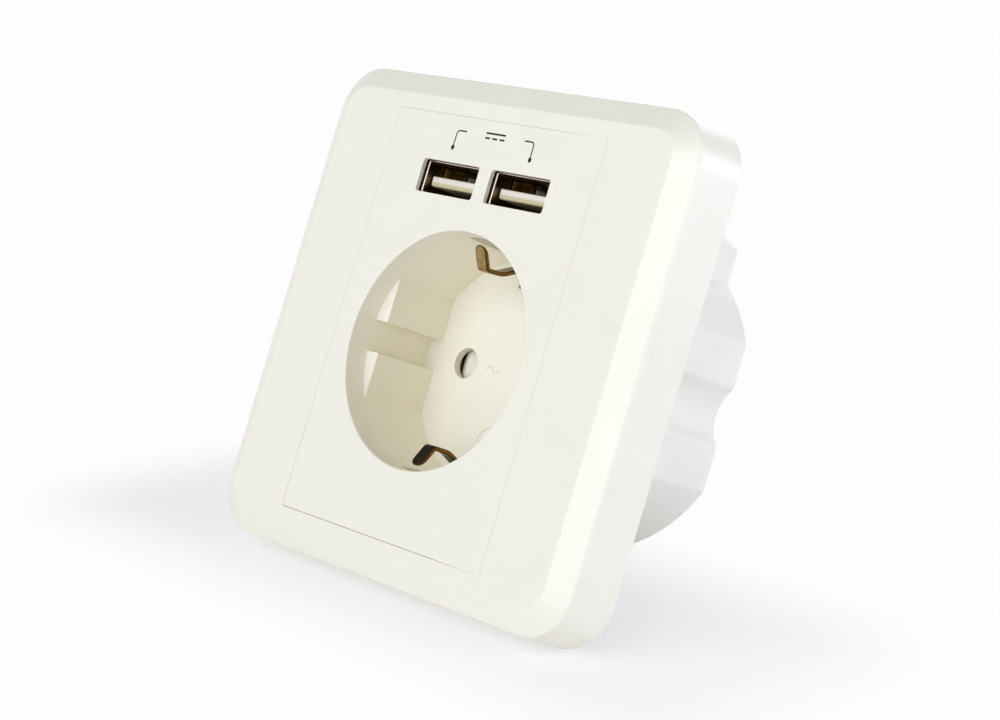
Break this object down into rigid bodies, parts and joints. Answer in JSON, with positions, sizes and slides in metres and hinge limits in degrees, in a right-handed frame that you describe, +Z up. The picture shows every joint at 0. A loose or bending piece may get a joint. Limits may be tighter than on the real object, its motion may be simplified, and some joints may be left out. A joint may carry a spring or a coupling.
{
  "type": "usb wall socket",
  "caption": "Flush wall socket with a round earthed plug well, a sliding pin shutter and USB charging ports above it, in a square bevelled frame.",
  "frame": {"origin": "middle of the frame on the wall plane, which is the back face of the mounting yoke", "axes": "+X right as seen from the room, +Y into the wall, +Z up"},
  "size_m": [0.0824, 0.045, 0.0824],
  "materials": {
    "frame_plastic": "satin moulded",
    "housing_plastic": "matt moulded",
    "carrier_plastic": "matt moulded",
    "shutter_plastic": "satin moulded",
    "tongue_plastic": "satin moulded",
    "zinc_steel": "zinc plated sheet",
    "screw_steel": "zinc plated, turned and rolled",
    "spring_steel": "bright strip",
    "brass_strip": "stamped strip",
    "shell_steel": "nickel plated sheet",
    "gold_blade": "gold flashed",
    "board_laminate": "solder mask",
    "ferrite": "ground ferrite",
    "winding_tape": "polyester tape",
    "capacitor_sleeve": "shrunk sleeve",
    "moulding_compound": "moulded",
    "fuse_lacquer": "lacquered",
    "tinned_copper": "tinned wire"
  },
  "bodies": {
    "socket": {"outer_frame": "frame_plastic", "centre_plate": "frame_plastic", "mounting_yoke": "zinc_steel", "rear_housing": "housing_plastic", "housing_screws": "screw_steel", "contact_carrier": "carrier_plastic", "line_contact": "brass_strip", "neutral_contact": "brass_strip", "earth_bracket": "brass_strip", "shutter_spring": "spring_steel", "line_clamp": "zinc_steel", "neutral_clamp": "zinc_steel", "earth_clamp": "zinc_steel", "terminal_screws": "screw_steel", "charger_board": "board_laminate", "usb_shell_left": "shell_steel", "usb_shell_right": "shell_steel", "usb_tongue_left": "tongue_plastic", "usb_tongue_right": "tongue_plastic", "transformer_core": "ferrite", "transformer_winding": "winding_tape", "input_capacitor": "capacitor_sleeve", "output_capacitor": "capacitor_sleeve", "rectifier": "moulding_compound", "controller_chip": "moulding_compound", "fuse_resistor": "fuse_lacquer", "supply_lead_line": "tinned_copper", "supply_lead_neutral": "tinned_copper", "usb_pin_left_1": "gold_blade", "usb_pin_left_2": "gold_blade", "usb_pin_left_3": "gold_blade", "usb_pin_left_4": "gold_blade", "usb_pin_right_1": "gold_blade", "usb_pin_right_2": "gold_blade", "usb_pin_right_3": "gold_blade", "usb_pin_right_4": "gold_blade"},
    "pin_shutter": {"shutter": "shutter_plastic"}
  },
  "joints": [
    {"name": "shutter_slide", "type": "slide", "parent": "socket", "child": "pin_shutter", "axis": [-1, 0, 0], "range_m": [0, 0.0056], "stiffness_N_per_m": 100, "springref_m": -0.002, "deforming": ["shutter_spring"]}
  ]
}
